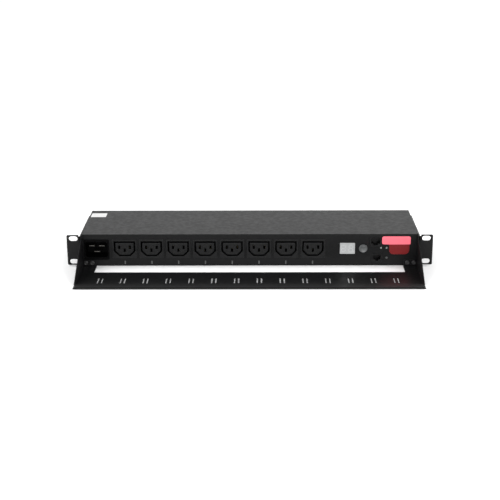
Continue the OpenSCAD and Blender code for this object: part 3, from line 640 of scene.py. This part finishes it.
def build_ears():
    t, inner = EAR_T, 0.5
    tip, leg_end = EAR_HIGH.x, EAR_HIGH.y
    half_h = EAR_HIGH.z
    leg_h = half_h - 2.0
    start = -(EAR_LOW.x + t + inner)
    bend = (inner + t / 2) * math.pi / 2
    end = start + bend + leg_end - inner
    outline = [(-tip, -half_h), (start - 0.6, -half_h), (start - 0.6, -leg_h), (end, -leg_h),
               (end, leg_h), (start - 0.6, leg_h), (start - 0.6, half_h), (-tip, half_h)]
    holes = [slot(11.5, 6.8, -SLOT_X, z, steps=12) for z in (-SLOT_Z, SLOT_Z)]
    holes += [circle(3.86, start + bend + y - inner, z) for y in EAR_SCREW_YS for z in EAR_SCREW_ZS]
    bm = plate(rounded(outline, [1.6, 0.6, 0, 3, 3, 0, 0.6, 1.6], 5), holes, 0, t, edge=0.3)
    fold(bm, start, (1, 0), t, inner=inner, cuts=8)
    for v in bm.verts:
        v.co.x = -v.co.x
    placed(bm, "Y", (0, FACE_Y, 0))
    left = mirrored(bm)
    piece("ear_right_sheet", [bm], POWDER, replaces=["rack_ear_right"])
    piece("ear_left_sheet", [left], POWDER, replaces=["rack_ear_left"])


def build_tray():
    t, inner = SHEET_T, BEND_R
    half, front, rear = TRAY_HIGH.x, TRAY_LOW.y, TRAY_HIGH.y
    top = TRAY_HIGH.z - BOTTOM_Z
    fold_x, tab_fold = half - inner - t, rear - inner - t
    hem_inner = 0.1
    hem_fold = front + hem_inner + t
    hem_end = hem_fold - (hem_inner + t / 2) * math.pi - 10.4
    window_x, window_y = 202.7, rear - 28.4
    foot_y = front + 11.0
    tab_top = tab_fold + flap(8.0, t)
    tab_in, tab_out = 203.9, 219.9

    def up(height):
        return fold_x + flap(height, t)

    right = [(window_x, window_y), (window_x, tab_fold - 0.4), (tab_in, tab_fold - 0.4), (tab_in, tab_top),
             (tab_out, tab_top), (tab_out, tab_fold - 0.4), (fold_x, tab_fold - 0.4), (fold_x, rear),
             (up(top), rear), (up(top), rear - 2.0), (up(2.9), foot_y), (fold_x, foot_y),
             (fold_x, foot_y - 1.6), (half, foot_y - 1.6), (half, hem_fold - 0.9), (half - 2, hem_fold - 0.9),
             (half - 2, hem_end)]
    radii = [1.0, 0, 0, 1.5, 1.5, 0, 0, 0, 1.0, 3.0, 0.6, 0, 0, 0.8, 0.3, 0, 0.8]
    left = [(-x, y) for x, y in reversed(right)]
    outline = rounded(right + left, radii + radii[::-1], 4)
    holes = []
    for i in range(TIE_COUNT):
        centre = TIE_X + (i - (TIE_COUNT - 1) / 2) * TIE_PITCH
        for shift in (-2.6, 2.6):
            holes.append(slot(20.0, 1.6, centre + shift, front + 29.2, upright=True, steps=6))
    screw_v = tab_fold + flap(TRAY_SCREW_Z - BOTTOM_Z, t)
    for x in TRAY_SCREW_XS:
        holes += [circle(1.6, x, screw_v, 24), circle(1.6, -x, screw_v, 24)]
    bm = plate(outline, holes, 0, t, edge=0.2)
    fold(bm, -hem_fold, (0, -1), t, inner=hem_inner, angle=180, cuts=10)
    fold(bm, tab_fold, (0, 1), t, where=lambda c: tab_in - 0.1 < abs(c.x) < tab_out + 0.1)
    for side in (1, -1):
        fold(bm, fold_x, (side, 0), t,
             where=lambda c, s=side: s * c.x > fold_x - 0.1 and c.y > foot_y - 0.1)
    placed(bm, "Z", (0, 0, BOTTOM_Z))
    piece("tray_sheet", [bm], POWDER, replaces=["cord_tray"])


# ---- Screws --------------------------------------------------------------------------------------


def screw_head(radius, height, shank_r, shank_len, countersunk=False):
    """A head with a cross recess on a shank, along +w, its seat at w = 0."""
    arm, reach = radius * 0.17, radius * 0.56
    cross = [(reach, -arm), (reach, arm), (arm, arm), (arm, reach), (-arm, reach), (-arm, arm),
             (-reach, arm), (-reach, -arm), (-arm, -arm), (-arm, -reach), (arm, -reach), (arm, -arm)]
    cross = rounded(cross, [0.12 * radius, 0.12 * radius, 0] * 4, 2)
    dome = min(height * 0.55, radius * 0.35)
    base = 0.05 if not countersunk else 0.02
    depth = min(height * 0.75, 1.2)
    top = plate(circle(radius, steps=32), [cross], height - depth, height, edge=base, base_edge=dome, steps=4)
    floor = lathe([(0, -shank_len), (shank_r * 0.75, -shank_len), (shank_r, -shank_len + 0.5),
                   (shank_r, 0), (radius - 0.05, 0), (radius, height - depth),
                   (0, height - depth)] if not countersunk else
                  [(0, -shank_len), (shank_r * 0.8, -shank_len), (shank_r, -shank_len + 0.5),
                   (shank_r, 0), (radius, height - depth), (0, height - depth)], 32)
    return [top, floor]


def build_screws():
    cover, tray, ears = [], [], []
    for x in COVER_SCREW_XS:
        cover += [placed(b, "Y", (x, COVER_HIGH.y, COVER_SCREW_Z)) for b in screw_head(2.8, 1.9, 1.4, 4.8)]
    for x in TRAY_SCREW_XS:
        for side in (1, -1):
            tray += [placed(b, "Y", (side * x, FACE_Y - SHEET_T, TRAY_SCREW_Z), flip=True)
                     for b in screw_head(2.8, 1.9, 1.4, 5.3)]
    for y in EAR_SCREW_YS:
        for z in EAR_SCREW_ZS:
            for side in (1, -1):
                parts = screw_head(3.75, EAR_T, 1.9, SHEET_T + 3.0, countersunk=True)
                ears += [placed(b, "X", (side * (EAR_LOW.x), y, z), flip=side < 0) for b in parts]
    piece("cover_screw_heads", cover, SCREW, replaces=["cover_screws"])
    piece("tray_screw_heads", tray, SCREW, replaces=["tray_screws"])
    piece("ear_screw_heads", ears, SCREW, replaces=["ear_screws"])


# ---- Outlets and inlet ---------------------------------------------------------------------------


def c13(grow, radius):
    """C13 outline with its lower corners cut, grown all round, with small corner radii."""
    w, h = TONGUE_W / 2 + grow, TONGUE_H / 2 + grow
    c = TONGUE_CUT + grow * (2 - math.sqrt(2))
    points = [(-w, h), (-w, -h + c), (-w + c, -h), (w - c, -h), (w, -h + c), (w, h)]
    return rounded(points, [radius, radius * 1.6, radius * 1.6, radius * 1.6, radius * 1.6, radius], 4)


def build_outlets():
    contact_slots = [rect(2.6, 4.8, x, z, 0.3, 3)
                     for x, z in ((-CONTACT_DX, CONTACT_DZ), (CONTACT_DX, CONTACT_DZ), (0, -CONTACT_DZ))]
    for name in OUTLETS:
        low, high = box_mm(name)
        at = ((low.x + high.x) / 2, 0, (low.z + high.z) / 2)
        front, rear = low.y, high.y
        width, height = high.x - low.x, high.z - low.z
        groove_floor = front + GROOVE_D
        flange = plate(rect(width, height, 0, 0, 1.5), [c13(GROOVE_W, 0.8)], front, FACE_Y, edge=0.4,
                       base_edge=0.02)
        walls = plate(rect(30.6, 23.4, 0, 0, 0.5), [c13(GROOVE_W, 0.8)], FACE_Y - 0.3, groove_floor + 0.2,
                      edge=0.02)
        tongue = plate(c13(0, 0.7), contact_slots, front + 0.05, groove_floor + 0.2, edge=0.45, base_edge=0.02)
        back = plate(rect(30.6, 23.4, 0, 0, 0.5), contact_slots, groove_floor, rear, edge=0.05, base_edge=0.4)
        parts = [placed(b, "Y", at) for b in (flange, walls, tongue, back)]
        piece(f"{name}_moulding", parts, OUTLET, replaces=[name])


def build_inlet():
    low, high = box_mm("inlet_housing")
    at = ((low.x + high.x) / 2, 0, (low.z + high.z) / 2)
    front, rear = low.y, high.y
    cavity = rect(29.2, 20.8, 0, 0, 2.5)
    cavity_floor = FACE_Y + 19.1
    pins = [(-6.5, 4.0), (6.5, 4.0), (0, -4.0)]
    flange = plate(rect(high.x - low.x, high.z - low.z, 0, 0, 2.0), [cavity], front, FACE_Y, edge=0.5,
                   base_edge=0.02)
    walls = plate(rect(32, 24.8, 0, 0, 1.0), [cavity], FACE_Y - 0.3, cavity_floor + 0.2, edge=0.02)
    back = plate(rect(32, 24.8, 0, 0, 1.0), [rect(8.0, 2.0, x, z, 0.2, 2) for x, z in pins],
                 cavity_floor, rear, edge=0.05, base_edge=0.4)
    parts = [placed(b, "Y", at) for b in (flange, walls, back)]
    piece("inlet_moulding", parts, SHADED_INLET_NYLON, replaces=["inlet_housing"])
    for node, (x, z) in zip(("inlet_line_pin", "inlet_neutral_pin", "inlet_earth_pin"), pins):
        low, high = box_mm(node)
        blade = plate(rect(7.96, 1.96, 0, 0, 0.35, 3), (), low.y, rear, edge=0.6, base_edge=0.02, steps=4)
        tab = plate(rect(6.3, 0.8, 0, 0, 0.1, 2), (), rear - 0.1, high.y, edge=0.1)
        piece(f"{node}_blade", [placed(b, "Y", (at[0] + x, 0, at[2] + z)) for b in (blade, tab)], SHADED_PIN_METAL,
              replaces=[node])


# ---- Controls and jacks --------------------------------------------------------------------------


def build_display():
    low, high = box_mm("display_module")
    cx, cz = (low.x + high.x) / 2, (low.z + high.z) / 2
    width, height = high.x - low.x, high.z - low.z
    face = plate(rect(width, height, cx, cz, 0.5, 4), (), low.y, FACE_Y + 8.0, edge=0.25)
    pins = []
    for k in range(-2, 3):
        for side in (-1, 1):
            pins.append((plate(circle(0.25, cx + 2.54 * k, cz + 6 * side, 10), (), FACE_Y + 8.0, high.y,
                               edge=0.02), ZINC))
    parts = [placed(face, "Y")] + [(placed(b, "Y"), m) for b, m in pins]
    piece("display_body", parts, DISPLAY, replaces=["display_module"])


def build_button():
    low, high = box_mm("control_button")
    cx = (low.x + high.x) / 2
    front, rear = low.y, high.y
    radius, flange_r = BUTTON_R, (high.x - low.x) / 2
    dish = [(0, front + 0.95), (1.7, front + 0.85), (3.2, front + 0.52), (4.1, front + 0.2),
            (4.5, front + 0.05), (4.8, front)]
    rim = [(4.8 + 0.75 * math.sin(math.radians(a)), front + 0.75 * (1 - math.cos(math.radians(a))))
           for a in (20, 40, 60, 80)]
    body = [(radius, front + 0.9), (radius, -0.3), (flange_r - 0.15, -0.3), (flange_r, -0.15),
            (flange_r, 0.75), (flange_r - 0.15, 0.9), (3.0, 0.9), (3.0, rear - 0.2), (2.8, rear), (0, rear)]
    bm = placed(lathe(dish + rim + body, 56), "Y", (cx, 0, CONTROL_Z))
    piece("button_cap", [bm], BUTTON, body="display_button", replaces=["control_button"])


def build_jack(node, hole_w, hole_h, notch_w, notch_h):
    low, high = box_mm(node)
    cx, cz = (low.x + high.x) / 2, (low.z + high.z) / 2
    width, height = high.x - low.x, high.z - low.z
    top, bottom = hole_h / 2 + notch_h / 2, -hole_h / 2 + notch_h / 2
    mouth = [(hole_w / 2, bottom), (hole_w / 2, top), (-hole_w / 2, top), (-hole_w / 2, bottom),
             (-notch_w / 2, bottom), (-notch_w / 2, bottom - notch_h), (notch_w / 2, bottom - notch_h),
             (notch_w / 2, bottom)]
    depth = low.y + 10.9
    shell = plate(rect(width, height, 0, 0, 0.6, 3), [rounded(mouth, 0.2, 2)], low.y, depth + 0.1, edge=0.3,
                  base_edge=0.02)
    back = plate(rect(width, height, 0, 0, 0.6, 3), (), depth, high.y, edge=0.02, base_edge=0.3)
    parts = [placed(b, "Y", (cx, 0, cz)) for b in (shell, back)]
    piece(f"{node}_moulding", parts, JACK, replaces=[node])


def build_lights():
    low, high = box_mm("status_leds")
    domes = []
    for x, z in led_places():
        r, front = 1.25, low.y
        profile = [(r * math.sin(math.radians(a)), front + 1.25 - 1.25 * math.cos(math.radians(a)))
                   for a in range(0, 91, 15)]
        profile += [(r, high.y - 0.2), (r - 0.2, high.y), (0, high.y)]
        domes.append(placed(lathe(profile, 28), "Y", (x, 0, z)))
    piece("status_light_lenses", domes, LENS, replaces=["status_leds"])
    low, high = box_mm("outlet_leds")
    pipes = []
    for x, z in pipe_places():
        pipes.append(placed(plate(rect(PIPE_W, PIPE_H, x, z, 0.4, 4), (), low.y, high.y, edge=0.3), "Y"))
    piece("outlet_light_pipes", pipes, PIPE, replaces=["outlet_leds"])


def build_labels():
    low, high = box_mm("front_label")
    split = high.z - LABEL_BAR_H
    field_right = high.x - LABEL_FIELD_INSET
    field_left = field_right - LABEL_FIELD_W
    outline = [(low.x, high.z), (low.x, split), (field_left, split), (field_left, low.z),
               (field_right, low.z), (field_right, split), (high.x, split), (high.x, high.z)]
    radii = [LABEL_BAR_R, LABEL_BAR_R, 0.8, LABEL_FIELD_R, LABEL_FIELD_R, 0.4, 0.9, LABEL_BAR_R]
    outline = rounded(outline, radii, 6)
    bm = placed(plate(outline, (), low.y, high.y, edge=0.3, base_edge=0.02, steps=4), "Y")
    piece("badge_dome", [bm], badge(split), replaces=["front_label"])
    low, high = box_mm("asset_label")
    outline = rect(high.x - low.x, high.y - low.y, (low.x + high.x) / 2, (low.y + high.y) / 2, 1.2, 4)
    bm = placed(plate(outline, (), low.z, high.z, edge=0.02, base_edge=0.06), "Z")
    piece("asset_sticker", [bm], STICKER, replaces=["asset_label"])


build_cover()
build_pan()
build_panel()
build_ears()
build_tray()
build_screws()
build_outlets()
build_inlet()
build_display()
build_button()
build_jack("ethernet_jack", 11.8, 7.2, 6, 2.4)
build_jack("serial_jack", 9.6, 6.6, 4, 2)
build_lights()
build_labels()

# ---- Finishes of the CAD nodes that stay ---------------------------------------------------------

NODE_FINISH = {
    BRASS: ["outlet_line_contacts", "outlet_neutral_contacts", "outlet_earth_contacts"],
    COPPER: ["neutral_busbar", "earth_busbar"],
    BROWN: ["line_leads", "inlet_line_lead"],
    BLUE: ["inlet_neutral_lead"],
    EARTH_WIRE: ["inlet_earth_lead"],
    SENSOR: ["current_sensor"],
    LAMINATE: ["relay_board", "control_board", "supply_board"],
    RELAY: ["relays"],
    ZINC: ["board_standoffs", "board_screws", "ear_nuts", "control_board_brackets", "control_board_screws"],
    FISH_PAPER: ["insulation_sheet"],
    CHIP: ["controller_chips"],
    SEGMENT: ["display_segments"],
    SWITCH: ["control_switch", "reset_switch"],
    PLUNGER: ["switch_plunger"],
    BUTTON: ["reset_button"],
    GOLD: ["ethernet_contacts", "serial_contacts"],
    CORE: ["supply_transformer"],
    CAPACITOR: ["supply_capacitors"],
    RIBBON: ["ribbon_cable"],
}
for finish, names in NODE_FINISH.items():
    for name in names:
        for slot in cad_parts[name].material_slots:
            slot.material = finish

# ---- Floor, light and camera: metres, watts and degrees -------------------------------------------

FLOOR_R = 30.0
FLOOR_GAP = 0.0002
SKY_STRENGTH = 0.30
SIDE_BANK_POWER = 102.0
REAR_BANK_POWER = 13.5
FRONT_BANK_POWER = 72.0
FLOOR_BANK_POWER = 25.0
SENSOR_W_MM = 36.0
LENS_MM = 79.68
CAMERA_AT = (0.0140, -1.3805, 0.4846)
CAMERA_YAW = 0.56
CAMERA_DOWN = 19.37
CAMERA_ROLL = -0.27


def build_stage():
    mesh = bpy.data.meshes.new("floor")
    bm = bmesh.new()
    bmesh.ops.create_circle(bm, cap_ends=True, segments=96, radius=FLOOR_R)
    bm.to_mesh(mesh)
    bm.free()
    floor = bpy.data.objects.new("floor", mesh)
    floor.location.z = BOTTOM_Z * MM - FLOOR_GAP
    bpy.context.scene.collection.objects.link(floor)
    f = Finish("floor_paper", rough=0.8)
    f.mottled((0.90, 0.90, 0.90), (0.93, 0.93, 0.93), 400.0)
    f.bump(2.0, 0.02)
    mesh.materials.append(f.material)


def area_light(name, at, target, size, power):
    data = bpy.data.lights.new(name, "AREA")
    data.shape = "RECTANGLE"
    data.size, data.size_y = size
    data.energy = power
    obj = bpy.data.objects.new(name, data)
    obj.location = at
    obj.rotation_euler = (Vector(target) - Vector(at)).to_track_quat("-Z", "Y").to_euler()
    bpy.context.scene.collection.objects.link(obj)


def build_light():
    world = bpy.data.worlds.new("studio")
    world.use_nodes = True
    background = world.node_tree.nodes["Background"]
    background.inputs["Color"].default_value = (1.0, 1.0, 1.0, 1)
    background.inputs["Strength"].default_value = SKY_STRENGTH
    bpy.context.scene.world = world
    area_light("left_bank", (-2.4, 0.2, 1.3), (0, 0, 0), (1.6, 3.6), SIDE_BANK_POWER)
    area_light("right_bank", (2.4, 0.2, 1.3), (0, 0, 0), (1.6, 3.6), SIDE_BANK_POWER)
    area_light("rear_bank", (1.0, 3.0, 1.05), (0, 0, 0.1), (4.5, 1.0), REAR_BANK_POWER)
    area_light("front_bank", (0, -2.6, 0.8), (0, 0, 0), (3.6, 1.2), FRONT_BANK_POWER)
    area_light("floor_bank", (0, 2.6, 1.3), (0, 2.6, 0), (5.0, 1.6), FLOOR_BANK_POWER)


def build_camera():
    data = bpy.data.cameras.new("camera")
    data.sensor_width = SENSOR_W_MM
    data.lens = LENS_MM
    data.clip_end = 50.0
    camera = bpy.data.objects.new("camera", data)
    camera.location = CAMERA_AT
    yaw = Matrix.Rotation(math.radians(CAMERA_YAW), 3, "Z")
    tilt = Matrix.Rotation(math.radians(90 - CAMERA_DOWN), 3, "X")
    roll = Matrix.Rotation(math.radians(CAMERA_ROLL), 3, "Z")
    camera.rotation_euler = (yaw @ tilt @ roll).to_euler()
    bpy.context.scene.collection.objects.link(camera)
    bpy.context.scene.camera = camera


build_stage()
build_light()
build_camera()
bpy.context.scene.view_settings.view_transform = "Standard"

bpy.context.view_layer.update()
